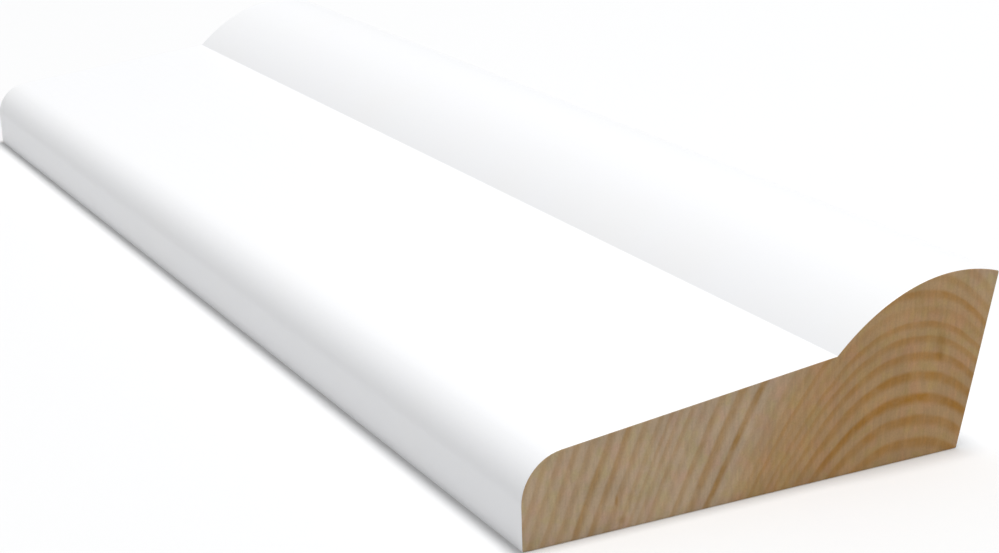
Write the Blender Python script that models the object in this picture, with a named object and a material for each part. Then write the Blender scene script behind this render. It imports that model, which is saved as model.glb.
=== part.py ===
"""A short length of pine skirting board, primed white, lying on its flat back.

Its section starts at a thin edge with a round nose. From there a face rises gently to a V groove,
and past the groove a hump swells up and over to a thick edge, which leans outwards from the back.
The board runs along Y with a square cut at each end. Its thin edge is at -X, its thick edge at +X,
and its back lies on Z = 0. The origin is under the middle of its bounding box.
"""

from math import atan2, cos, pi, radians, sin, sqrt, tan

import bmesh
import bpy
from mathutils import Vector

# Lengths in metres and angles in degrees, measured on the section seen from a cut end.
BOARD_LENGTH = 0.188

# Across the back, from the thin edge to the thick one.
FACE_WIDTH = 0.0381
GROOVE_TO_CROWN = 0.0159
CROWN_TO_THICK_EDGE = 0.0017

# Up from the back.
THIN_EDGE_HEIGHT = 0.0097
FACE_RISE = 0.0043
HUMP_RISE = 0.0071

# The hump is part of an upright ellipse, and this is half the ellipse's height.
HUMP_HALF_HEIGHT = 0.041
NOSE_RADIUS = 0.0051
THIN_EDGE_LEAN = 2.0
THICK_EDGE_LEAN = 11.8

NOSE_STEPS = 16
HUMP_STEPS = 36
WELD_DISTANCE = 0.000001
SMOOTH_UNDER = 20.0

BACK_WIDTH = FACE_WIDTH + GROOVE_TO_CROWN + CROWN_TO_THICK_EDGE
GROOVE_HEIGHT = THIN_EDGE_HEIGHT + FACE_RISE
BOARD_THICKNESS = GROOVE_HEIGHT + HUMP_RISE

WHITE_PRIMER = {"colour": (0.86, 0.86, 0.85), "roughness": 0.5}
BARE_PINE = {"colour": (0.37, 0.27, 0.17), "roughness": 0.7}


def clear_scene():
    """Removes every object that the file opens with."""
    for obj in list(bpy.data.objects):
        bpy.data.objects.remove(obj, do_unlink=True)


def make_material(name, finish):
    """A Principled material in one colour."""
    material = bpy.data.materials.new(name)
    material.use_nodes = True
    shader = material.node_tree.nodes["Principled BSDF"]
    shader.inputs["Base Color"].default_value = (*finish["colour"], 1.0)
    shader.inputs["Roughness"].default_value = finish["roughness"]
    shader.inputs["Metallic"].default_value = 0.0
    return material


def nose_points():
    """The round between the face and the thin edge, as an arc that is tangent to both."""
    down_edge = Vector((sin(radians(THIN_EDGE_LEAN)), -cos(radians(THIN_EDGE_LEAN))))
    up_face = Vector((FACE_WIDTH, FACE_RISE)).normalized()
    corner = Vector((-THIN_EDGE_HEIGHT * tan(radians(THIN_EDGE_LEAN)), THIN_EDGE_HEIGHT))
    half_corner = down_edge.angle(up_face) / 2
    setback = NOSE_RADIUS / tan(half_corner)
    centre = corner + (down_edge + up_face).normalized() * NOSE_RADIUS / sin(half_corner)
    first = corner + up_face * setback - centre
    last = corner + down_edge * setback - centre
    start = atan2(first.y, first.x)
    sweep = (atan2(last.y, last.x) - start) % (2 * pi)
    points = []
    for step in range(NOSE_STEPS + 1):
        angle = start + sweep * step / NOSE_STEPS
        points.append(centre + NOSE_RADIUS * Vector((cos(angle), sin(angle))))
    return points


def hump_points():
    """The hump, from the top of the thick edge over the crown and down into the groove."""
    centre = Vector((FACE_WIDTH + GROOVE_TO_CROWN, BOARD_THICKNESS - HUMP_HALF_HEIGHT))
    groove_share = 1 - HUMP_RISE / HUMP_HALF_HEIGHT
    half_width = GROOVE_TO_CROWN / sqrt(1 - groove_share**2)

    # The thick edge is the line x = BACK_WIDTH + lean * y, and it meets the ellipse where
    # (start + lean * rise)^2 / half_width^2 + rise^2 / HUMP_HALF_HEIGHT^2 is 1.
    lean = tan(radians(THICK_EDGE_LEAN))
    start = BACK_WIDTH + lean * centre.y - centre.x
    a = (lean / half_width) ** 2 + 1 / HUMP_HALF_HEIGHT**2
    b = 2 * start * lean / half_width**2
    c = (start / half_width) ** 2 - 1
    arris_rise = (-b + sqrt(b * b - 4 * a * c)) / (2 * a)
    arris_run = start + lean * arris_rise

    first = atan2(arris_rise / HUMP_HALF_HEIGHT, arris_run / half_width)
    last = atan2(groove_share, -GROOVE_TO_CROWN / half_width)
    points = []
    for step in range(HUMP_STEPS + 1):
        angle = first + (last - first) * step / HUMP_STEPS
        points.append(centre + Vector((half_width * cos(angle), HUMP_HALF_HEIGHT * sin(angle))))
    return points


def section_outline():
    """The whole section, from the foot of the thin edge along the back and round."""
    outline = [Vector((0.0, 0.0)), Vector((BACK_WIDTH, 0.0))]
    outline += hump_points()
    outline += nose_points()
    middle = (min(p.x for p in outline) + max(p.x for p in outline)) / 2
    return [point - Vector((middle, 0.0)) for point in outline]


def make_section_curve(outline):
    """A filled flat curve of the section, as thick as the board is long."""
    curve = bpy.data.curves.new("skirting_section", "CURVE")
    curve.dimensions = "2D"
    curve.fill_mode = "BOTH"
    curve.extrude = BOARD_LENGTH / 2
    spline = curve.splines.new("POLY")
    spline.points.add(len(outline) - 1)
    for point, place in zip(spline.points, outline):
        point.co = (place.x, place.y, 0.0, 1.0)
    spline.use_cyclic_u = True
    section = bpy.data.objects.new("skirting_section", curve)
    section.rotation_euler = (radians(90), 0.0, 0.0)
    return section


def make_mesh_object(name, curve_object, collection):
    """Turns a curve object into a welded mesh object at the same place, and removes the curve."""
    collection.objects.link(curve_object)
    bpy.context.view_layer.update()
    graph = bpy.context.evaluated_depsgraph_get()
    mesh = bpy.data.meshes.new_from_object(curve_object.evaluated_get(graph))
    mesh.name = name
    welded = bmesh.new()
    welded.from_mesh(mesh)
    bmesh.ops.remove_doubles(welded, verts=welded.verts, dist=WELD_DISTANCE)
    bmesh.ops.recalc_face_normals(welded, faces=welded.faces)
    welded.to_mesh(mesh)
    welded.free()
    obj = bpy.data.objects.new(name, mesh)
    obj.matrix_world = curve_object.matrix_world.copy()
    collection.objects.link(obj)
    bpy.data.objects.remove(curve_object, do_unlink=True)
    return obj


def dress_board(board):
    """White primer on the face and both edges, and bare pine on the two cut ends and the back."""
    mesh = board.data
    mesh.materials.clear()
    mesh.materials.append(make_material("white_primer", WHITE_PRIMER))
    mesh.materials.append(make_material("bare_pine", BARE_PINE))
    turn = board.matrix_world.to_3x3()
    for polygon in mesh.polygons:
        facing = turn @ polygon.normal
        polygon.material_index = 1 if abs(facing.y) > 0.9 or facing.z < -0.9 else 0
    mesh.shade_smooth()
    mesh.set_sharp_from_angle(angle=radians(SMOOTH_UNDER))


def main():
    clear_scene()
    parts = bpy.data.collections.new("skirting_board")
    bpy.context.scene.collection.children.link(parts)
    section = make_section_curve(section_outline())
    board = make_mesh_object("skirting_board", section, parts)
    dress_board(board)


main()
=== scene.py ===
"""Looks of a short length of pine skirting board, primed white and cut square at both ends.

The board lies on its flat back. It is one moulded length of pine, so it is one piece: a section
with eased corners, swept along the board by Geometry Nodes. The face and both edges carry white
primer, the two cut ends show bare end grain, and the back is bare planed pine. One field of growth
rings runs through the whole board, so the rings on a cut end go on as lines along the back and
show faintly through the primer.
"""

import logging
import math
from dataclasses import dataclass, field
from enum import Enum

import bmesh
import bpy
from mathutils import Matrix, Vector


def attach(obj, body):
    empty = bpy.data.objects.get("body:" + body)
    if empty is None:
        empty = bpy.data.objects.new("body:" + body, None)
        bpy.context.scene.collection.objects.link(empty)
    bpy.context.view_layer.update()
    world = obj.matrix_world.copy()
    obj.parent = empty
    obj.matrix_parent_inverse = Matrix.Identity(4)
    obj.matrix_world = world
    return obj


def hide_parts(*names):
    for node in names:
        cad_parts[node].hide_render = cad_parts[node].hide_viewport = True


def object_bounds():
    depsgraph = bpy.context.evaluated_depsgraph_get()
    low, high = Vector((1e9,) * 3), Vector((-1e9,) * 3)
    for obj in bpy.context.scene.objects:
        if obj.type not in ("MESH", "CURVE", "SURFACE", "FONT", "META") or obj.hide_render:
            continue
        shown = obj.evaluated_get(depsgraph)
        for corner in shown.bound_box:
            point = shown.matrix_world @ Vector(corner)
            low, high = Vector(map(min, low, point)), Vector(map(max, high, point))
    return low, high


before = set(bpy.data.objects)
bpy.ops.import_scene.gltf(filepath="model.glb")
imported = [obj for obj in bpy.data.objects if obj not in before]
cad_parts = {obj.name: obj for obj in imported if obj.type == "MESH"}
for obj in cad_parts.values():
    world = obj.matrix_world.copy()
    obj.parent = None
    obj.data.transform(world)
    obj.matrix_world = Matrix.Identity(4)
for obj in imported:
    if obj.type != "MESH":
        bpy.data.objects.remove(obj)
CAD_LOW, CAD_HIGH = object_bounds()

NODE = "skirting_board"
PIECE = "board"
BODY = "root"
MILLIMETRES = 1000.0

log = logging.getLogger("skirting_board")

WOODS = ("Early Heart", "Early Sap", "Late Heart", "Late Sap")

Socket = bpy.types.NodeSocket
Colour = tuple[float, float, float]
Point = tuple[float, float, float]


def linked(name: str, data: bpy.types.ID) -> bpy.types.Object:
    """Makes an object and puts it in the scene.

    Args:
        name: The object's name.
        data: Its mesh, lamp or camera.

    Returns:
        The new object.
    """
    obj = bpy.data.objects.new(name, data)
    bpy.context.scene.collection.objects.link(obj)
    return obj


class NodeBench:
    """Adds nodes to one tree and links them, so that a formula reads like one."""

    NOISE_MIDDLE = 0.5

    def __init__(self, tree: bpy.types.NodeTree) -> None:
        """Keeps the shader or geometry node tree that the nodes go in."""
        self.tree = tree

    def add(self, kind: str, **settings: object) -> bpy.types.Node:
        """Adds a node and sets its properties.

        Args:
            kind: The node's Blender type.
            **settings: Properties of the node and their values.

        Returns:
            The new node.
        """
        node = self.tree.nodes.new(kind)
        for name, value in settings.items():
            setattr(node, name, value)
        return node

    def feed(self, target: Socket, value: object) -> None:
        """Gives an input a link or a plain value.

        Args:
            target: The input.
            value: Another node's output, or a value that the input holds itself.
        """
        if isinstance(value, Socket):
            self.tree.links.new(value, target)
        else:
            target.default_value = value

    def made(self, kind: str, output: str, inputs: dict[str, object], **settings: object) -> Socket:
        """Adds a node, feeds its inputs by name and gives one output.

        Args:
            kind: The node's Blender type.
            output: The name of the output that is wanted.
            inputs: The inputs' names and what feeds them.
            **settings: The node's properties and their values.

        Returns:
            That output.
        """
        node = self.add(kind, **settings)
        for name, value in inputs.items():
            self.feed(node.inputs[name], value)
        return node.outputs[output]

    def math(self, operation: str, *values: object) -> Socket:
        """Adds a Math node.

        Args:
            operation: The node's operation, such as MULTIPLY.
            *values: Its inputs in order, as outputs or numbers.

        Returns:
            The node's output.
        """
        node = self.add("ShaderNodeMath", operation=operation)
        for target, value in zip(node.inputs, values):
            self.feed(target, value)
        return node.outputs["Value"]

    def vector(self, operation: str, first: object, second: object) -> Socket:
        """Adds a Vector Math node for an operation that gives a vector.

        Args:
            operation: The node's operation, such as ADD.
            first: Its first vector.
            second: Its second vector.

        Returns:
            The node's vector output.
        """
        node = self.add("ShaderNodeVectorMath", operation=operation)
        self.feed(node.inputs[0], first)
        self.feed(node.inputs[1], second)
        return node.outputs["Vector"]

    def stretched(self, vector: Socket, amount: object) -> Socket:
        """Multiplies a vector by one number, which can vary over the surface."""
        inputs = {"Vector": vector, "Scale": amount}
        return self.made("ShaderNodeVectorMath", "Vector", inputs, operation="SCALE")

    def parts(self, vector: Socket) -> tuple[Socket, Socket, Socket]:
        """Splits a vector.

        Args:
            vector: The vector.

        Returns:
            Its x, y and z.
        """
        node = self.add("ShaderNodeSeparateXYZ")
        self.feed(node.inputs["Vector"], vector)
        return node.outputs["X"], node.outputs["Y"], node.outputs["Z"]

    def noise(self, vector: Socket, scale: object, detail: float, output: str = "Fac") -> Socket:
        """Adds a 3D noise texture, and gives Fac as one number or Color as three that differ."""
        inputs = {"Vector": vector, "Scale": scale, "Detail": detail}
        return self.made("ShaderNodeTexNoise", output, inputs, noise_dimensions="3D")

    def remap(self, value: object, low: object, high: object, new_low: float, new_high: float) -> Socket:
        """Adds a smooth, clamped Map Range node.

        Args:
            value: The value that is mapped.
            low: The value that becomes new_low.
            high: The value that becomes new_high.
            new_low: The result at low.
            new_high: The result at high.

        Returns:
            The node's output.
        """
        node = self.add("ShaderNodeMapRange", interpolation_type="SMOOTHSTEP")
        for target, given in zip(node.inputs, (value, low, high, new_low, new_high)):
            self.feed(target, given)
        return node.outputs["Result"]

    def mix_colour(self, share: object, first: object, second: object, blend: str = "MIX") -> Socket:
        """Mixes two colours.

        Args:
            share: How much of the second colour there is, from 0 to 1.
            first: The first colour, as an output or as red, green and blue.
            second: The second colour, in the same way.
            blend: The node's blend type.

        Returns:
            The mixed colour's output.
        """
        node = self.add("ShaderNodeMix", data_type="RGBA", blend_type=blend)
        sockets = {socket.identifier: socket for socket in (*node.inputs, *node.outputs)}
        self.feed(sockets["Factor_Float"], share)
        for name, colour in (("A_Color", first), ("B_Color", second)):
            self.feed(sockets[name], colour if isinstance(colour, Socket) else (*colour, 1.0))
        return sockets["Result_Color"]

    def curve(self, value: object, points: list[tuple[float, float]]) -> Socket:
        """Adds a Float Curve node through the given points.

        Args:
            value: The value that is looked up, from 0 to 1.
            points: The curve's points, with both numbers from 0 to 1.

        Returns:
            The node's output.
        """
        node = self.add("ShaderNodeFloatCurve")
        line = node.mapping.curves[0]
        line.points[0].location = points[0]
        line.points[1].location = points[-1]
        for place in points[1:-1]:
            line.points.new(*place)
        node.mapping.update()
        self.feed(node.inputs["Value"], value)
        return node.outputs["Value"]

    def ramp(self, value: object, stops: tuple[tuple[float, float], ...]) -> Socket:
        """Adds a grey Color Ramp with soft steps.

        Args:
            value: The value that is looked up, from 0 to 1.
            stops: Places on the ramp, each with its brightness.

        Returns:
            The ramp's colour output.
        """
        node = self.add("ShaderNodeValToRGB")
        node.color_ramp.interpolation = "EASE"
        elements = node.color_ramp.elements
        while len(elements) < len(stops):
            elements.new(0.0)
        for element, (place, grey) in zip(elements, stops):
            element.position = place
            element.color = (grey, grey, grey, 1.0)
        self.feed(node.inputs["Fac"], value)
        return node.outputs["Color"]


@dataclass(frozen=True)
class NoisePattern:
    """A noise in the wood or the primer: how fine it is, and which part of its range counts.

    The scale is in features for each millimetre, and detail says how many finer layers there are.
    The stretch multiplies the position, so a small number draws the pattern out that way.
    """

    scale: float
    detail: float
    low: float = 0.0
    high: float = 1.0
    stretch: Point = (1.0, 1.0, 1.0)

    def read(self, bench: NodeBench, place: Socket, output: str = "Fac") -> Socket:
        """Reads the noise at a place in millimetres, as Fac or as Color."""
        stretched = bench.vector("MULTIPLY", place, self.stretch)
        return bench.noise(stretched, self.scale, self.detail, output)

    def between(self, bench: NodeBench, place: Socket, least: float, most: float) -> Socket:
        """Reads the noise, with low and all below it mapped to least and high and above to most."""
        return bench.remap(self.read(bench, place), self.low, self.high, least, most)


class ShaderGroup:
    """A shader node group that is built once and placed in several materials."""

    VECTOR = "NodeSocketVector"
    NUMBER = "NodeSocketFloat"
    COLOUR = "NodeSocketColor"

    def __init__(self, name: str, inputs: dict[str, str], outputs: dict[str, str]) -> None:
        """Starts the group with its sockets.

        Args:
            name: The group's name.
            inputs: The input sockets' names and types.
            outputs: The output sockets' names and types.
        """
        self.tree = bpy.data.node_groups.new(name, "ShaderNodeTree")
        for socket, kind in inputs.items():
            self.tree.interface.new_socket(socket, in_out="INPUT", socket_type=kind)
        for socket, kind in outputs.items():
            self.tree.interface.new_socket(socket, in_out="OUTPUT", socket_type=kind)
        self.bench = NodeBench(self.tree)
        self.given = self.bench.add("NodeGroupInput").outputs
        self.result = self.bench.add("NodeGroupOutput").inputs

    def place(self, bench: NodeBench, values: dict[str, object]) -> bpy.types.bpy_prop_collection:
        """Places the group in a material.

        Args:
            bench: The material's bench.
            values: What feeds each of the group's inputs.

        Returns:
            The placed group's outputs.
        """
        node = bench.add("ShaderNodeGroup", node_tree=self.tree)
        for name, value in values.items():
            bench.feed(node.inputs[name], value)
        return node.outputs


@dataclass(frozen=True)
class GrowthRings:
    """The pine's growth rings as a field through the board, in millimetres.

    A ring is named by its crown, the height where it is level. It falls away from the crown
    steeply towards the thin edge, and from a flatter crown more gently towards the thick one.
    The heights and strengths were judged from the photograph's cut end: ring_at_crown gives the
    ring's number at some crown heights, and stands_out how many times as dark as its surroundings a
    ring is. through_one_ring is the darkness across a single ring.
    """

    HALF_RING = 0.5

    crown_x: float = 17.6
    thin_side_slope: float = 3.24
    thin_side_bend: float = 31.4
    thin_side_power: float = 2.0
    thick_side_slope: float = 2.42
    thick_side_bend: float = 17.2
    thick_side_power: float = 2.5
    highest_crown: float = 100.0
    most_rings: float = 31.0
    ring_at_crown: tuple[tuple[float, float], ...] = (
        (0.0, 0.25), (7.2, 3.0), (12.1, 5.0), (19.2, 9.0), (23.4, 11.0), (29.5, 13.0),
        (38.4, 15.0), (48.3, 18.0), (53.5, 20.0), (62.0, 22.0), (76.5, 25.0), (100.0, 31.0),
    )
    heart_darkness: float = 0.52
    sap_darkness: float = 0.325
    heart_reaches: float = 18.0
    sap_starts: float = 34.0
    stands_out: tuple[tuple[int, float], ...] = (
        (1, 0.6), (2, 0.65), (3, 0.9), (4, 0.75), (5, 0.6), (6, 0.5), (7, 0.5),
        (8, 0.2), (9, 0.6), (10, 0.35), (11, 0.4), (12, 0.4), (13, 2.3), (14, 1.8),
        (15, 1.6), (16, 0.6), (17, 1.2), (21, 1.3), (22, 1.75), (23, 1.85), (25, 1.3),
    )
    arch_starts: float = -15.0
    arch_reaches: float = -5.0
    arch_darkness: float = 1.72
    through_one_ring: tuple[tuple[float, float], ...] = (
        (0.0, 0.0), (0.1, 0.03), (0.48, 0.95), (0.62, 1.0), (0.85, 0.04), (1.0, 0.0),
    )
    patchiness: float = 0.5
    patches: NoisePattern = NoisePattern(0.6, 2.0, 0.3, 0.7, (1.0, 0.08, 1.0))
    shiver: float = 0.3
    shivering: NoisePattern = NoisePattern(0.35, 2.0, stretch=(1.0, 0.08, 1.0))
    wander: float = 2.5
    wandering: NoisePattern = NoisePattern(0.011, 1.0, stretch=(0.3, 1.0, 0.3))
    settled_until: float = 0.25

    def crown_height(self, bench: NodeBench, place: Socket) -> Socket:
        """The height of the crown of the ring that passes through a place.

        Args:
            bench: The group's bench.
            place: The position in millimetres.

        Returns:
            The output with that height.
        """
        x, _, z = bench.parts(place)
        run = bench.math("SUBTRACT", x, self.crown_x)
        thin_side = bench.math("LESS_THAN", run, 0.0)

        def sided(thin_value: float, thick_value: float) -> Socket:
            """One value on the thin edge's side of the crown and another on the thick edge's."""
            return bench.math("MULTIPLY_ADD", thin_side, thin_value - thick_value, thick_value)

        slope = sided(self.thin_side_slope, self.thick_side_slope)
        bend = sided(self.thin_side_bend, self.thick_side_bend)
        power = sided(self.thin_side_power, self.thick_side_power)
        reach = bench.math("POWER", bench.math("ABSOLUTE", run), power)
        reach = bench.math("ADD", reach, bench.math("POWER", bend, power))
        reach = bench.math("POWER", reach, bench.math("DIVIDE", 1.0, power))
        fall = bench.math("MULTIPLY", slope, bench.math("SUBTRACT", reach, bend))
        return bench.math("ADD", z, fall)

    def unsettled(self, bench: NodeBench, place: Socket) -> Socket:
        """Makes the rings shiver a little, and wander along the board away from its near end.

        Args:
            bench: The group's bench.
            place: The position in millimetres.

        Returns:
            The shifted position.
        """

        def across(pattern: NoisePattern, most: float) -> Socket:
            """A noise as a shift across the board and up, by half of most either way."""
            middle = (bench.NOISE_MIDDLE,) * 3
            about_zero = bench.vector("SUBTRACT", pattern.read(bench, place, "Color"), middle)
            return bench.vector("MULTIPLY", about_zero, (most, 0.0, most))

        near_end = CAD_LOW.y * MILLIMETRES
        length = (CAD_HIGH.y - CAD_LOW.y) * MILLIMETRES
        _, y, _ = bench.parts(place)
        away = bench.remap(y, near_end, near_end + length * self.settled_until, 0.0, 1.0)
        wander = bench.stretched(across(self.wandering, self.wander), away)
        moved = bench.vector("ADD", place, across(self.shivering, self.shiver))
        return bench.vector("ADD", moved, wander)

    def darkness(self, bench: NodeBench, place: Socket, crown: Socket, ring: Socket) -> Socket:
        """How dark the late wood of a ring is.

        Args:
            bench: The group's bench.
            place: The position in millimetres.
            crown: The ring's crown height.
            ring: The ring's number, counted up from the board's back.

        Returns:
            The output with the darkness, which turns patchy along the ring.
        """
        darkness = bench.remap(
            crown, self.heart_reaches, self.sap_starts, self.heart_darkness, self.sap_darkness
        )
        x, _, _ = bench.parts(place)
        run = bench.math("SUBTRACT", x, self.crown_x)
        arch = bench.remap(run, self.arch_starts, self.arch_reaches, 1.0, self.arch_darkness)
        darkness = bench.math("MULTIPLY", darkness, arch)
        for number, times in self.stands_out:
            this_ring = bench.math("COMPARE", ring, float(number), self.HALF_RING)
            change = bench.math("MULTIPLY_ADD", this_ring, times - 1.0, 1.0)
            darkness = bench.math("MULTIPLY", darkness, change)
        either_way = self.patchiness / 2
        patches = self.patches.between(bench, place, 1.0 - either_way, 1.0 + either_way)
        return bench.math("MULTIPLY", darkness, patches)

    def group(self) -> ShaderGroup:
        """Builds the shader group.

        Returns:
            A group that takes a position and gives the mask of the dark late wood, and the wood's
            age from 0 at the heart to 1.
        """
        outputs = {"Late Wood": ShaderGroup.NUMBER, "Age": ShaderGroup.NUMBER}
        group = ShaderGroup("growth_rings", {"Position": ShaderGroup.VECTOR}, outputs)
        bench = group.bench
        place = bench.vector("MULTIPLY", group.given["Position"], (MILLIMETRES,) * 3)
        crown = self.crown_height(bench, self.unsettled(bench, place))
        age = bench.math("DIVIDE", crown, self.highest_crown)
        points = [(c / self.highest_crown, r / self.most_rings) for c, r in self.ring_at_crown]
        count = bench.math("MULTIPLY", bench.curve(age, points), self.most_rings)
        shifted = bench.math("ADD", count, self.HALF_RING)
        ring = bench.math("FLOOR", shifted)
        within = bench.math("SUBTRACT", shifted, ring)
        darkness = self.darkness(bench, place, crown, ring)
        late = bench.math("MULTIPLY", bench.ramp(within, self.through_one_ring), darkness)
        bench.feed(group.result["Late Wood"], late)
        bench.feed(group.result["Age"], age)
        return group


@dataclass(frozen=True)
class PinePalette:
    """Four woods that pine's colour is mixed from, between a redder heart and a paler sap."""

    early_heart: Colour
    early_sap: Colour
    late_heart: Colour
    late_sap: Colour

    def by_socket(self) -> dict[str, tuple[float, ...]]:
        """The colours by the names of the pine colour group's inputs."""
        colours = (self.early_heart, self.early_sap, self.late_heart, self.late_sap)
        return {wood: (*colour, 1.0) for wood, colour in zip(WOODS, colours)}


@dataclass(frozen=True)
class PineColour:
    """How pine's colour turns with the rings, and with the wood's age from the heart out."""

    heart_age: float = 0.18
    sap_age: float = 0.29

    def group(self) -> ShaderGroup:
        """Builds the shader group.

        Returns:
            A group that takes the growth rings and a palette, and gives one colour.
        """
        inputs = {"Late Wood": ShaderGroup.NUMBER, "Age": ShaderGroup.NUMBER}
        inputs |= {wood: ShaderGroup.COLOUR for wood in WOODS}
        group = ShaderGroup("pine_colour", inputs, {"Color": ShaderGroup.COLOUR})
        bench = group.bench
        given = group.given
        sap = bench.remap(given["Age"], self.heart_age, self.sap_age, 0.0, 1.0)
        early_heart, early_sap, late_heart, late_sap = (given[wood] for wood in WOODS)
        early = bench.mix_colour(sap, early_heart, early_sap)
        late = bench.mix_colour(sap, late_heart, late_sap)
        bench.feed(group.result["Color"], bench.mix_colour(given["Late Wood"], early, late))
        return group


@dataclass(frozen=True)
class PrimerCoat:
    """Sprayed white primer: its colour, and how smooth it lies."""

    colour: Colour = (0.874, 0.88, 0.895)
    thin_colour: Colour = (0.872, 0.872, 0.872)
    thinnest: float = 0.5
    mottle: NoisePattern = NoisePattern(0.06, 3.0, 0.45, 0.75)
    peel: NoisePattern = NoisePattern(0.55, 2.0)

    def group(self) -> ShaderGroup:
        """Builds the shader group.

        Returns:
            A group that takes a position and gives the primer's colour and the height of its
            orange peel.
        """
        outputs = {"Color": ShaderGroup.COLOUR, "Height": ShaderGroup.NUMBER}
        group = ShaderGroup("primer_coat", {"Position": ShaderGroup.VECTOR}, outputs)
        bench = group.bench
        place = bench.vector("MULTIPLY", group.given["Position"], (MILLIMETRES,) * 3)
        thin = self.mottle.between(bench, place, 0.0, self.thinnest)
        bench.feed(group.result["Color"], bench.mix_colour(thin, self.colour, self.thin_colour))
        bench.feed(group.result["Height"], self.peel.read(bench, place))
        return group


@dataclass(frozen=True)
class SharedGroups:
    """The shader groups that more than one material uses."""

    rings: ShaderGroup
    pine: ShaderGroup
    primer: ShaderGroup


class Finish(Enum):
    """The board's three finishes, by the names of their materials."""

    COATED = "sprayed_white_primer"
    CUT = "bare_pine_end_grain"
    BACK = "bare_pine_back"

    @property
    def socket(self) -> str:
        """The name of the sweep's input that takes this finish's material."""
        return f"{self.name.title()} Material"


class MaterialBench(NodeBench):
    """The bench of one material, with its Principled BSDF and the place on the board."""

    DARK_GREY = 0.2
    LIGHT_GREY = 0.8

    def __init__(self, finish: Finish, roughness: float) -> None:
        """Starts the material.

        Args:
            finish: The finish, which gives the material its name.
            roughness: The roughness all over the surface.
        """
        self.material = bpy.data.materials.new(finish.value)
        self.material.use_nodes = True
        super().__init__(self.material.node_tree)
        self.shader = self.tree.nodes["Principled BSDF"].inputs
        self.shader["Roughness"].default_value = roughness
        self.position = self.add("ShaderNodeTexCoord").outputs["Object"]
        self.place = self.vector("MULTIPLY", self.position, (MILLIMETRES,) * 3)

    def on_board(self, group: ShaderGroup) -> bpy.types.bpy_prop_collection:
        """Places a shared group that takes the position on the board."""
        return group.place(self, {"Position": self.position})

    def bare_pine(self, groups: SharedGroups, palette: PinePalette) -> tuple[Socket, Socket]:
        """Places the growth rings and the pine's colour.

        Args:
            groups: The shared groups.
            palette: The woods that the colour is mixed from.

        Returns:
            The colour, and the mask of the late wood.
        """
        rings = self.on_board(groups.rings)
        inputs = {"Late Wood": rings["Late Wood"], "Age": rings["Age"], **palette.by_socket()}
        return groups.pine.place(self, inputs)["Color"], rings["Late Wood"]

    def shaded(self, colour: Socket, pattern: NoisePattern, share: float) -> tuple[Socket, Socket]:
        """Darkens and lightens a colour by a noise pattern.

        Args:
            colour: The colour.
            pattern: The pattern, which darkens most at its low value and lightens most at its high.
            share: How strong the pattern is, from 0 to 1.

        Returns:
            The changed colour, and the noise itself.
        """
        noise = pattern.read(self, self.place)
        grey = self.ramp(noise, ((pattern.low, self.DARK_GREY), (pattern.high, self.LIGHT_GREY)))
        return self.mix_colour(share, colour, grey, "OVERLAY"), noise

    def relief(self, *layers: tuple[Socket, float]) -> None:
        """Feeds the shader a normal made of layers of height.

        Args:
            *layers: Pairs of a height, from 0 to 1, and its real height in metres.
        """
        inputs = {"Strength": 1.0}
        for height, distance in layers:
            inputs |= {"Height": height, "Distance": distance}
            inputs["Normal"] = self.made("ShaderNodeBump", "Normal", inputs)
        self.feed(self.shader["Normal"], inputs["Normal"])


@dataclass(frozen=True)
class SprayedPrimer:
    """White primer over pine, with the rings showing through as the faintest ridges."""

    roughness: float = 0.42
    peel_height: float = 0.000012
    show_through: float = 0.00002

    def material(self, groups: SharedGroups) -> bpy.types.Material:
        """Builds the material.

        Args:
            groups: The shared groups.

        Returns:
            The material.
        """
        bench = MaterialBench(Finish.COATED, self.roughness)
        primer = bench.on_board(groups.primer)
        rings = bench.on_board(groups.rings)
        bench.feed(bench.shader["Base Color"], primer["Color"])
        bench.relief((primer["Height"], self.peel_height), (rings["Late Wood"], self.show_through))
        return bench.material


@dataclass(frozen=True)
class ResinFleck:
    """A small dark fleck of resin on the near cut end, in metres across the board and up.

    It is evenly dark within core, a share of its size, and weaker in early wood, where the late
    wood's mask is below late_wood_from.
    """

    across: float
    up: float
    half_width: float
    half_height: float
    strength: float
    depth: float = 0.004
    core: float = 0.2
    in_early_wood: float = 0.65
    late_wood_from: float = 0.4

    def mask(self, bench: MaterialBench, late_wood: Socket) -> Socket:
        """The fleck as a soft spot, which fills the late wood more than the early wood.

        Args:
            bench: The material's bench.
            late_wood: The mask of the late wood.

        Returns:
            The output with the spot's mask.
        """
        away = bench.vector("SUBTRACT", bench.position, (self.across, CAD_LOW.y, self.up))
        away = bench.vector("DIVIDE", away, (self.half_width, self.depth, self.half_height))
        distance = bench.made("ShaderNodeVectorMath", "Value", {"Vector": away}, operation="LENGTH")
        spot = bench.remap(distance, self.core, 1.0, self.strength, 0.0)
        filled = bench.remap(late_wood, 0.0, self.late_wood_from, self.in_early_wood, 1.0)
        return bench.math("MULTIPLY", spot, filled)


@dataclass(frozen=True)
class Tint:
    """Patches of early wood with another hue: where they are, and what multiplies the colour."""

    patches: NoisePattern
    change: Colour


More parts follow.
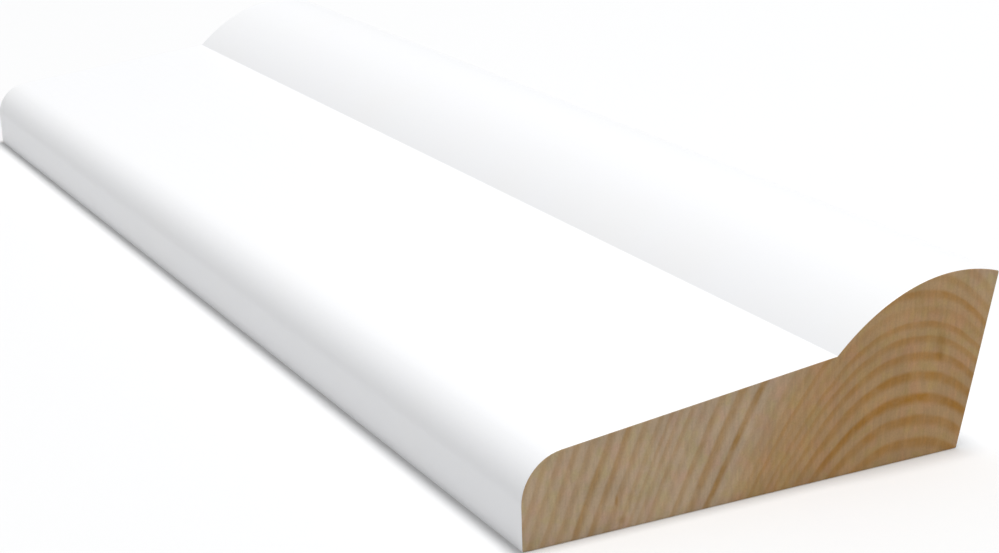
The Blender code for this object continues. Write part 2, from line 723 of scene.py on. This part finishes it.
@dataclass(frozen=True)
class EndGrain:
    """Bare pine across the grain, with its rings, fine pores, saw marks and flecks of resin."""

    palette: PinePalette = PinePalette(
        early_heart=(0.42, 0.263, 0.1215),
        early_sap=(0.4555, 0.3355, 0.2175),
        late_heart=(0.343, 0.148, 0.004),
        late_sap=(0.345, 0.19, 0.053),
    )
    roughness: float = 0.78
    cloud: NoisePattern = NoisePattern(0.25, 4.0, 0.3, 0.7)
    cloud_share: float = 0.1
    pinker: Tint = Tint(NoisePattern(0.35, 2.0, 0.45, 0.7), (1.07, 0.967, 1.0))
    yellower: Tint = Tint(NoisePattern(0.6, 2.0, 0.45, 0.7), (0.97, 1.01, 0.86))
    pores: NoisePattern = NoisePattern(4.0, 3.0, 0.2, 0.8)
    pore_share: float = 0.09
    pore_relief: float = 0.00003
    saw_marks: NoisePattern = NoisePattern(2.6, 2.0, 0.3, 0.7, (1.0, 1.0, 0.16))
    saw_share: float = 0.1
    saw_relief: float = 0.00002
    ring_relief: float = 0.00006
    resin: Colour = (0.272, 0.126, 0.003)
    flecks: tuple[ResinFleck, ...] = (
        ResinFleck(0.0224, 0.0129, 0.001, 0.0026, 0.45),
        ResinFleck(0.0224, 0.0118, 0.0007, 0.0009, 0.4),
        ResinFleck(-0.019, 0.0033, 0.0003, 0.001, 0.5),
        ResinFleck(-0.0183, 0.001, 0.001, 0.0006, 0.3),
    )

    def material(self, groups: SharedGroups) -> bpy.types.Material:
        """Builds the material.

        Args:
            groups: The shared groups.

        Returns:
            The material.
        """
        bench = MaterialBench(Finish.CUT, self.roughness)
        colour, late_wood = bench.bare_pine(groups, self.palette)
        colour, _ = bench.shaded(colour, self.cloud, self.cloud_share)
        early_wood = bench.math("SUBTRACT", 1.0, late_wood)
        for tint in (self.pinker, self.yellower):
            patches = tint.patches.between(bench, bench.place, 0.0, 1.0)
            patches = bench.math("MULTIPLY", patches, early_wood)
            colour = bench.mix_colour(patches, colour, tint.change, "MULTIPLY")
        for fleck in self.flecks:
            colour = bench.mix_colour(fleck.mask(bench, late_wood), colour, self.resin)
        colour, pores = bench.shaded(colour, self.pores, self.pore_share)
        colour, saw_marks = bench.shaded(colour, self.saw_marks, self.saw_share)
        bench.feed(bench.shader["Base Color"], colour)
        sawn = ((pores, self.pore_relief), (saw_marks, self.saw_relief))
        bench.relief(*sawn, (late_wood, self.ring_relief))
        return bench.material


@dataclass(frozen=True)
class PlanedBack:
    """The bare planed back, with fibres along it and primer that strayed round its two edges.

    Widths are in millimetres. The strayed primer's line fades between line_full and line_gone past
    its ragged end.
    """

    palette: PinePalette = PinePalette(
        early_heart=(0.66, 0.47, 0.28),
        early_sap=(0.71, 0.54, 0.35),
        late_heart=(0.52, 0.29, 0.12),
        late_sap=(0.55, 0.34, 0.16),
    )
    roughness: float = 0.62
    fibres: NoisePattern = NoisePattern(2.2, 5.0, 0.25, 0.75, (1.0, 0.03, 1.0))
    fibre_share: float = 0.3
    fibre_relief: float = 0.00003
    ring_relief: float = 0.00006
    ragged: NoisePattern = NoisePattern(0.4, 5.0, 0.35, 0.75, (1.0, 0.4, 1.0))
    line_width: float = 1.2
    line_cover: float = 0.85
    line_full: float = -0.2
    line_gone: float = 0.6
    mist_width: float = 8.0
    mist_cover: float = 0.5
    speckle: NoisePattern = NoisePattern(1.8, 3.0, 0.35, 0.65)
    thinnest_speckle: float = 0.2

    def strayed(self, bench: MaterialBench, back_edges: tuple[float, float]) -> Socket:
        """How much primer lies on the back: a ragged line along each edge, and mist past it.

        Args:
            bench: The material's bench.
            back_edges: Where the back begins and ends, in metres across the board.

        Returns:
            The output with the primer's cover, from 0 to 1.
        """
        x, _, _ = bench.parts(bench.place)
        thin_side, thick_side = (edge * MILLIMETRES for edge in back_edges)
        from_thin = bench.math("SUBTRACT", x, thin_side)
        from_thick = bench.math("SUBTRACT", thick_side, x)
        inwards = bench.math("MINIMUM", from_thin, from_thick)
        line_end = self.ragged.between(bench, bench.place, 0.0, self.line_width)
        past_line = bench.math("SUBTRACT", inwards, line_end)
        line = bench.remap(past_line, self.line_full, self.line_gone, self.line_cover, 0.0)
        mist_end = bench.math("MULTIPLY", self.ragged.read(bench, bench.place), self.mist_width)
        mist = bench.remap(inwards, 0.0, mist_end, self.mist_cover, 0.0)
        speckle = self.speckle.between(bench, bench.place, self.thinnest_speckle, 1.0)
        return bench.math("MAXIMUM", line, bench.math("MULTIPLY", mist, speckle))

    def material(self, groups: SharedGroups, back_edges: tuple[float, float]) -> bpy.types.Material:
        """Builds the material.

        Args:
            groups: The shared groups.
            back_edges: Where the back begins and ends, in metres across the board.

        Returns:
            The material.
        """
        bench = MaterialBench(Finish.BACK, self.roughness)
        colour, late_wood = bench.bare_pine(groups, self.palette)
        colour, fibres = bench.shaded(colour, self.fibres, self.fibre_share)
        primer = bench.on_board(groups.primer)
        colour = bench.mix_colour(self.strayed(bench, back_edges), colour, primer["Color"])
        bench.feed(bench.shader["Base Color"], colour)
        bench.relief((fibres, self.fibre_relief), (late_wood, self.ring_relief))
        return bench.material


@dataclass(frozen=True)
class Finishes:
    """All the board's materials, built on shared groups."""

    primer: SprayedPrimer = SprayedPrimer()
    end_grain: EndGrain = EndGrain()
    back: PlanedBack = PlanedBack()

    def build(self, back_edges: tuple[float, float]) -> dict[str, bpy.types.Material]:
        """Builds the shared groups and the three materials.

        Args:
            back_edges: Where the back begins and ends, in metres across the board.

        Returns:
            The materials by the names of the sweep's inputs.
        """
        groups = SharedGroups(GrowthRings().group(), PineColour().group(), PrimerCoat().group())
        return {
            Finish.COATED.socket: self.primer.material(groups),
            Finish.CUT.socket: self.end_grain.material(groups),
            Finish.BACK.socket: self.back.material(groups, back_edges),
        }


@dataclass
class Section:
    """The board's section in metres, with its corners eased, seen from the near cut end."""

    face_width: float = 0.0381
    groove_to_crown: float = 0.0159
    crown_to_thick_edge: float = 0.0017
    thin_edge_height: float = 0.0097
    face_rise: float = 0.0043
    hump_rise: float = 0.0071
    hump_half_height: float = 0.041
    nose_radius: float = 0.0051
    thin_edge_lean: float = math.radians(2.0)
    thick_edge_lean: float = math.radians(11.8)
    foot_ease: float = 0.0002
    arris_ease: float = 0.00025
    groove_ease: float = 0.00015
    point_spacing: float = 0.0012
    round_spacing: float = 0.0006
    fewest_round_steps: int = 3
    hump_steps: int = 36

    @property
    def back_width(self) -> float:
        """The width of the flat back."""
        return self.face_width + self.groove_to_crown + self.crown_to_thick_edge

    @property
    def thickness(self) -> float:
        """The height of the hump's crown above the back."""
        return self.thin_edge_height + self.face_rise + self.hump_rise

    def hump(self) -> list[Vector]:
        """The hump as part of an upright ellipse.

        Returns:
            Points from the top of the thick edge over the crown and down to the groove.
        """
        centre = Vector((self.face_width + self.groove_to_crown, self.thickness - self.hump_half_height))
        groove_share = 1 - self.hump_rise / self.hump_half_height
        half_width = self.groove_to_crown / math.sqrt(1 - groove_share**2)

        # The thick edge is x = back_width + lean * y, met where x and y fit the ellipse's equation.
        lean = math.tan(self.thick_edge_lean)
        start = self.back_width + lean * centre.y - centre.x
        a = (lean / half_width) ** 2 + 1 / self.hump_half_height**2
        b = 2 * start * lean / half_width**2
        c = (start / half_width) ** 2 - 1
        rise = (-b + math.sqrt(b * b - 4 * a * c)) / (2 * a)

        first = math.atan2(rise / self.hump_half_height, (start + lean * rise) / half_width)
        last = math.atan2(groove_share, -self.groove_to_crown / half_width)
        points = []
        for step in range(self.hump_steps + 1):
            angle = first + (last - first) * step / self.hump_steps
            reach = Vector((half_width * math.cos(angle), self.hump_half_height * math.sin(angle)))
            points.append(centre + reach)
        return points

    def eased(self, before: Vector, corner: Vector, after: Vector, radius: float) -> list[Vector]:
        """Rounds one corner of the outline.

        Args:
            before: A point on the side that comes to the corner.
            corner: The sharp corner.
            after: A point on the side that leaves the corner.
            radius: The round's radius.

        Returns:
            Points along the round.
        """
        back = (before - corner).normalized()
        ahead = (after - corner).normalized()
        half_angle = back.angle(ahead) / 2
        setback = radius / math.tan(half_angle)
        centre = corner + (back + ahead).normalized() * radius / math.sin(half_angle)
        first = corner + back * setback - centre
        sweep = first.angle_signed(corner + ahead * setback - centre)
        steps = max(self.fewest_round_steps, math.ceil(abs(sweep) * radius / self.round_spacing))
        points = []
        for step in range(steps + 1):
            points.append(centre + Matrix.Rotation(-sweep * step / steps, 2) @ first)
        return points

    def shift(self) -> float:
        """How far the section moves across, from its thin foot at 0 to its place in the frame.

        Returns:
            The shift, which puts the section's widest points evenly about the frame's middle.
        """
        thick_arris = self.hump()[0].x
        thin_side = min(point.x for point in self.nose())
        return (CAD_LOW.x + CAD_HIGH.x) / 2 - (thin_side + thick_arris) / 2

    def nose(self) -> list[Vector]:
        """The round between the face and the thin edge.

        Returns:
            Points from the face down to the thin edge.
        """
        thin_foot = Vector((0.0, 0.0))
        corner = Vector((-self.thin_edge_height * math.tan(self.thin_edge_lean), self.thin_edge_height))
        return self.eased(self.hump()[-1], corner, thin_foot, self.nose_radius)

    def back_edges(self) -> tuple[float, float]:
        """Where the back begins and ends across the board, in the frame."""
        return self.shift(), self.shift() + self.back_width

    def outline(self) -> list[Vector]:
        """The whole section at its place across the frame, with points at most point_spacing apart.

        Returns:
            Points round the section, with x across the board and y up from its back.
        """
        hump = self.hump()
        nose = self.nose()
        thin_foot = Vector((0.0, 0.0))
        thick_foot = Vector((self.back_width, 0.0))
        points = self.eased(nose[-1], thin_foot, thick_foot, self.foot_ease)
        points += self.eased(thin_foot, thick_foot, hump[0], self.foot_ease)
        points += self.eased(thick_foot, hump[0], hump[1], self.arris_ease)
        points += hump[1:-1]
        points += self.eased(hump[-2], hump[-1], nose[0], self.groove_ease)
        points += nose
        across = Vector((self.shift(), 0.0))
        return [point + across for point in self.with_short_steps(points)]

    def with_short_steps(self, points: list[Vector]) -> list[Vector]:
        """Divides the outline's long straight sides.

        Args:
            points: The outline's points.

        Returns:
            The same outline with no step longer than point_spacing.
        """
        result = []
        for start, end in zip(points, points[1:] + points[:1]):
            steps = max(1, math.ceil((end - start).length / self.point_spacing))
            result += [start.lerp(end, step / steps) for step in range(steps)]
        return result


@dataclass
class Sweep:
    """The Geometry Nodes tree that draws a section out into a board, and its sizes in metres."""

    station_spacing: float = 0.002
    ripple_height: float = 0.00003
    ripple_scale: float = 90.0
    ripple_detail: float = 2.0
    ripple_stretch: float = 0.35
    ripple_above: float = 0.001
    flat_facing: float = 0.95

    def inputs(self) -> dict[str, float]:
        """The values of the tree's inputs by their names."""
        return {
            "Length": CAD_HIGH.y - CAD_LOW.y,
            "Station Spacing": self.station_spacing,
            "Ripple Height": self.ripple_height,
            "Ripple Scale": self.ripple_scale,
        }

    def tree(self) -> bpy.types.NodeTree:
        """Builds the tree.

        Returns:
            A tree that takes a closed loop of edges and gives a solid board with its materials.
        """
        tree = bpy.data.node_groups.new("moulding_sweep", "GeometryNodeTree")
        tree.interface.new_socket("Section", in_out="INPUT", socket_type="NodeSocketGeometry")
        for name in self.inputs():
            tree.interface.new_socket(name, in_out="INPUT", socket_type="NodeSocketFloat")
        for finish in Finish:
            tree.interface.new_socket(finish.socket, in_out="INPUT", socket_type="NodeSocketMaterial")
        tree.interface.new_socket("Board", in_out="OUTPUT", socket_type="NodeSocketGeometry")
        bench = NodeBench(tree)
        given = bench.add("NodeGroupInput").outputs
        board = self.drawn_out(bench, given)
        board = self.rippled(bench, given, board)
        board = self.dressed(bench, given, board)
        bench.feed(bench.add("NodeGroupOutput").inputs["Board"], board)
        return tree

    def drawn_out(self, bench: NodeBench, given: bpy.types.bpy_prop_collection) -> Socket:
        """Sweeps the section along the board's length and closes both ends.

        The line runs from the far end to the near one and is tilted by half a turn, which puts the
        section's x across the board and its y upwards.

        Args:
            bench: The tree's bench.
            given: The tree's inputs.

        Returns:
            The output with the closed board.
        """
        far = bench.math("MULTIPLY", given["Length"], 0.5)
        near = bench.math("MULTIPLY", given["Length"], -0.5)
        far_point = bench.made("ShaderNodeCombineXYZ", "Vector", {"Y": far})
        near_point = bench.made("ShaderNodeCombineXYZ", "Vector", {"Y": near})
        ends = {"Start": far_point, "End": near_point}
        line = bench.made("GeometryNodeCurvePrimitiveLine", "Curve", ends)
        spacing = {"Curve": line, "Length": given["Station Spacing"]}
        line = bench.made("GeometryNodeResampleCurve", "Curve", spacing, mode="LENGTH")
        line = bench.made("GeometryNodeSetCurveTilt", "Curve", {"Curve": line, "Tilt": math.pi})
        profile = bench.made("GeometryNodeMeshToCurve", "Curve", {"Mesh": given["Section"]})
        curves = {"Curve": line, "Profile Curve": profile, "Fill Caps": True}
        return bench.made("GeometryNodeCurveToMesh", "Mesh", curves)

    def rippled(self, bench: NodeBench, given: bpy.types.bpy_prop_collection, board: Socket) -> Socket:
        """Gives the planed face and edges their slight unevenness, and leaves the back flat.

        Args:
            bench: The tree's bench.
            given: The tree's inputs.
            board: The swept board.

        Returns:
            The output with the uneven board.
        """
        position = bench.add("GeometryNodeInputPosition").outputs["Position"]
        normal = bench.add("GeometryNodeInputNormal").outputs["Normal"]
        drawn_out = bench.vector("MULTIPLY", position, (1.0, self.ripple_stretch, 1.0))
        noise = bench.noise(drawn_out, given["Ripple Scale"], self.ripple_detail)
        about_zero = bench.math("SUBTRACT", noise, bench.NOISE_MIDDLE)
        height = bench.math("MULTIPLY", about_zero, given["Ripple Height"])
        _, _, z = bench.parts(position)
        clear_of_back = {"A": z, "B": self.ripple_above}
        above = bench.made("FunctionNodeCompare", "Result", clear_of_back, operation="GREATER_THAN")
        inputs = {"Geometry": board, "Selection": above, "Offset": bench.stretched(normal, height)}
        return bench.made("GeometryNodeSetPosition", "Geometry", inputs)

    def dressed(self, bench: NodeBench, given: bpy.types.bpy_prop_collection, board: Socket) -> Socket:
        """Realizes the board and gives each face its material by the way that it looks.

        Args:
            bench: The tree's bench.
            given: The tree's inputs.
            board: The uneven board.

        Returns:
            The output with the finished board.
        """
        board = bench.made("GeometryNodeRealizeInstances", "Geometry", {"Geometry": board})
        normal = bench.add("GeometryNodeInputNormal").outputs["Normal"]
        _, y, z = bench.parts(normal)
        lengthwise = bench.math("ABSOLUTE", y)
        downwards = bench.math("MULTIPLY", z, -1.0)
        for finish, facing in ((Finish.COATED, None), (Finish.CUT, lengthwise), (Finish.BACK, downwards)):
            inputs = {"Geometry": board, "Material": given[finish.socket]}
            if facing is not None:
                flat = {"A": facing, "B": self.flat_facing}
                chosen = bench.made("FunctionNodeCompare", "Result", flat, operation="GREATER_THAN")
                inputs["Selection"] = chosen
            board = bench.made("GeometryNodeSetMaterial", "Geometry", inputs)
        return board


@dataclass
class SkirtingBoard:
    """The one piece: a length of primed pine moulding."""

    section: Section = field(default_factory=Section)
    sweep: Sweep = field(default_factory=Sweep)
    finishes: Finishes = field(default_factory=Finishes)
    cut_arris: float = 0.00012
    cut_arris_over: float = math.radians(60.0)
    cut_arris_segments: int = 2

    def section_loop(self) -> bpy.types.Object:
        """Makes the outline of the section as one closed loop of edges.

        Returns:
            The object that the sweep starts from.
        """
        loop = bmesh.new()
        corners = [loop.verts.new((point.x, point.y, 0.0)) for point in self.section.outline()]
        for start, end in zip(corners, corners[1:] + corners[:1]):
            loop.edges.new((start, end))
        mesh = bpy.data.meshes.new("section_loop")
        loop.to_mesh(mesh)
        loop.free()
        return linked("section_loop", mesh)

    def add_sweep(self, obj: bpy.types.Object) -> None:
        """Adds the sweep to the section's loop and sets its inputs.

        Args:
            obj: The section's loop.
        """
        tree = self.sweep.tree()
        modifier = obj.modifiers.new("moulding_sweep", "NODES")
        modifier.node_group = tree
        values = self.sweep.inputs() | self.finishes.build(self.section.back_edges())
        for item in tree.interface.items_tree:
            if item.in_out == "INPUT" and item.name in values:
                modifier[item.identifier] = values[item.name]

    def add_cut_arris(self, obj: bpy.types.Object) -> None:
        """Takes the last sharpness off the edges that the saw left.

        Args:
            obj: The section's loop with its sweep.
        """
        bevel = obj.modifiers.new("cut_arris", "BEVEL")
        bevel.width = self.cut_arris
        bevel.segments = self.cut_arris_segments
        bevel.limit_method = "ANGLE"
        bevel.angle_limit = self.cut_arris_over
        bevel.use_clamp_overlap = False
        normals = obj.modifiers.new("even_normals", "WEIGHTED_NORMAL")
        normals.keep_sharp = True

    def build(self) -> bpy.types.Object:
        """Builds the board as one plain mesh and fits it to the frame.

        Returns:
            The finished piece.
        """
        obj = self.section_loop()
        self.add_sweep(obj)
        self.add_cut_arris(obj)
        bpy.context.view_layer.update()
        graph = bpy.context.evaluated_depsgraph_get()
        mesh = bpy.data.meshes.new_from_object(obj.evaluated_get(graph))
        mesh.name = PIECE
        board = linked(PIECE, mesh)
        bpy.data.objects.remove(obj, do_unlink=True)
        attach(board, BODY)
        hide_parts(NODE)
        return board


@dataclass(frozen=True)
class Softbox:
    """A large soft lamp that looks at the board."""

    name: str
    place: Point
    size: float
    power: float

    def build(self) -> None:
        """Hangs the lamp and turns it to the middle of the board."""
        data = bpy.data.lights.new(self.name, "AREA")
        data.shape = "DISK"
        data.size = self.size
        data.energy = self.power
        lamp = linked(self.name, data)
        lamp.location = self.place
        lamp.rotation_euler = (-Vector(self.place)).to_track_quat("-Z", "Y").to_euler()


@dataclass(frozen=True)
class PaleFloor:
    """The studio's floor, which light from below passes through to the board's back."""

    half_size: float = 4.0
    drop: float = 0.00003
    contact_reach: float = 0.0003
    colour: Colour = (0.8, 0.802, 0.806)
    roughness: float = 0.9
    specular: float = 0.1

    def material(self) -> bpy.types.Material:
        """Builds the material, which is clear from below and where the board rests right on it.

        Returns:
            The material.
        """
        material = bpy.data.materials.new("pale_floor")
        material.use_nodes = True
        bench = NodeBench(material.node_tree)
        shader = material.node_tree.nodes["Principled BSDF"]
        shader.inputs["Base Color"].default_value = (*self.colour, 1.0)
        shader.inputs["Roughness"].default_value = self.roughness
        shader.inputs["Specular IOR Level"].default_value = self.specular
        below = bench.add("ShaderNodeNewGeometry").outputs["Backfacing"]
        ray_length = bench.add("ShaderNodeLightPath").outputs["Ray Length"]
        touching = bench.math("LESS_THAN", ray_length, self.contact_reach)
        mix = bench.add("ShaderNodeMixShader")
        clear = bench.add("ShaderNodeBsdfTransparent").outputs["BSDF"]
        inputs = (bench.math("MAXIMUM", below, touching), shader.outputs["BSDF"], clear)
        for target, value in zip(mix.inputs, inputs):
            bench.feed(target, value)
        bench.feed(material.node_tree.nodes["Material Output"].inputs["Surface"], mix.outputs["Shader"])
        return material

    def build(self) -> None:
        """Lays the floor just under the board."""
        grid = bmesh.new()
        bmesh.ops.create_grid(grid, x_segments=1, y_segments=1, size=self.half_size)
        mesh = bpy.data.meshes.new("floor")
        grid.to_mesh(mesh)
        grid.free()
        mesh.materials.append(self.material())
        floor = linked("floor", mesh)
        floor.location.z = CAD_LOW.z - self.drop


@dataclass
class Studio:
    """A plain pale floor, soft light and the camera."""

    floor: PaleFloor = field(default_factory=PaleFloor)
    sky_colour: Colour = (1.0, 1.0, 1.0)
    sky_strength: float = 0.44
    overhead: Softbox = Softbox("overhead_softbox", (0.4, -0.08, 2.8), 0.9, 66.0)
    camera_place: Point = (-0.11734, -0.24749, 0.08621)
    camera_aim: Point = (-0.00411, -0.04251, 0.01)
    camera_roll: float = math.radians(0.194)
    sensor_width: float = 36.0
    lens: float = 71.03
    nearest: float = 0.01

    def build_sky(self) -> None:
        """Sets the even light of the room, and shows colours as they are."""
        scene = bpy.context.scene
        world = bpy.data.worlds.new("white_room")
        world.use_nodes = True
        background = world.node_tree.nodes["Background"]
        background.inputs["Color"].default_value = (*self.sky_colour, 1.0)
        background.inputs["Strength"].default_value = self.sky_strength
        scene.world = world
        scene.view_settings.view_transform = "Standard"

    def build_camera(self) -> None:
        """Puts the camera at the photograph's place and angle."""
        data = bpy.data.cameras.new("camera")
        data.sensor_width = self.sensor_width
        data.lens = self.lens
        data.clip_start = self.nearest
        camera = linked("camera", data)
        look = Vector(self.camera_aim) - Vector(self.camera_place)
        turn = look.to_track_quat("-Z", "Y").to_matrix().to_4x4()
        roll = Matrix.Rotation(self.camera_roll, 4, "Z")
        camera.matrix_world = Matrix.Translation(self.camera_place) @ turn @ roll
        bpy.context.scene.camera = camera

    def build(self) -> None:
        """Builds the floor, the light and the camera."""
        self.floor.build()
        self.build_sky()
        self.overhead.build()
        self.build_camera()


def main() -> None:
    """Builds the studio and the board."""
    logging.basicConfig(level=logging.INFO, format="%(name)s: %(message)s")
    Studio().build()
    board = SkirtingBoard().build()
    log.info("%s: %d faces, %s", PIECE, len(board.data.polygons), list(board.data.materials.keys()))


if __name__ == "__main__":
    main()
